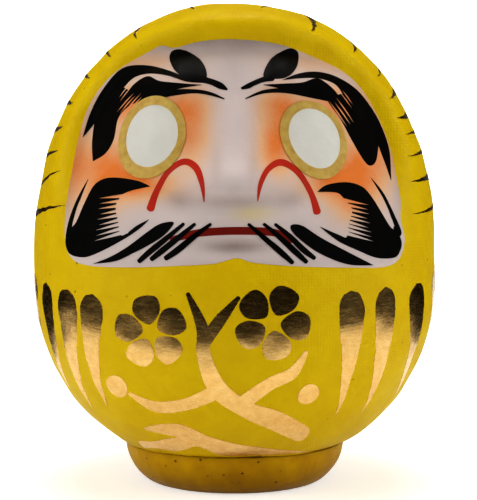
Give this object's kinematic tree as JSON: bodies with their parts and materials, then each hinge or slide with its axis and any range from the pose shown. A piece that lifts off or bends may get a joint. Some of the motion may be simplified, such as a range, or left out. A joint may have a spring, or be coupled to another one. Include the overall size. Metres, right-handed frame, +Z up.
{
  "type": "papier-mache daruma doll",
  "caption": "Round-bottomed hollow pulp doll with a hooded painted face and an egg-shaped body on a weighted foot; stands free as a good-luck ornament.",
  "frame": {"origin": "centre of the foot's underside, on the surface the doll stands on", "axes": "+Z up through the crown, -Y out of the face, +X to the doll's left (the viewer's right)"},
  "size_m": [0.1138, 0.1104, 0.1332],
  "materials": {
    "painted_pulp": "satin yellow brushed paint over moulded paper pulp",
    "pasted_strip": "matt torn kraft paper",
    "painted_foot": "satin yellow brushed paint over moulded pulp",
    "raw_clay": "matt dried clay",
    "set_glue": "clear amber set glue",
    "base_paper": "matt paper disc",
    "face_white": "matt chalky white ground, air-brushed with orange",
    "eye_white": "satin white paint",
    "brush_black": "satin black brushed paint",
    "brush_red": "satin red brushed paint",
    "brush_gold": "brushed-on metallic gold paint"
  },
  "bodies": {
    "root": {"front_shell": "painted_pulp", "back_shell": "painted_pulp", "seam_strips": "pasted_strip", "foot_dish": "painted_foot", "clay_weight": "raw_clay", "glue_bead": "set_glue", "base_paper": "base_paper"}
  },
  "joints": []
}
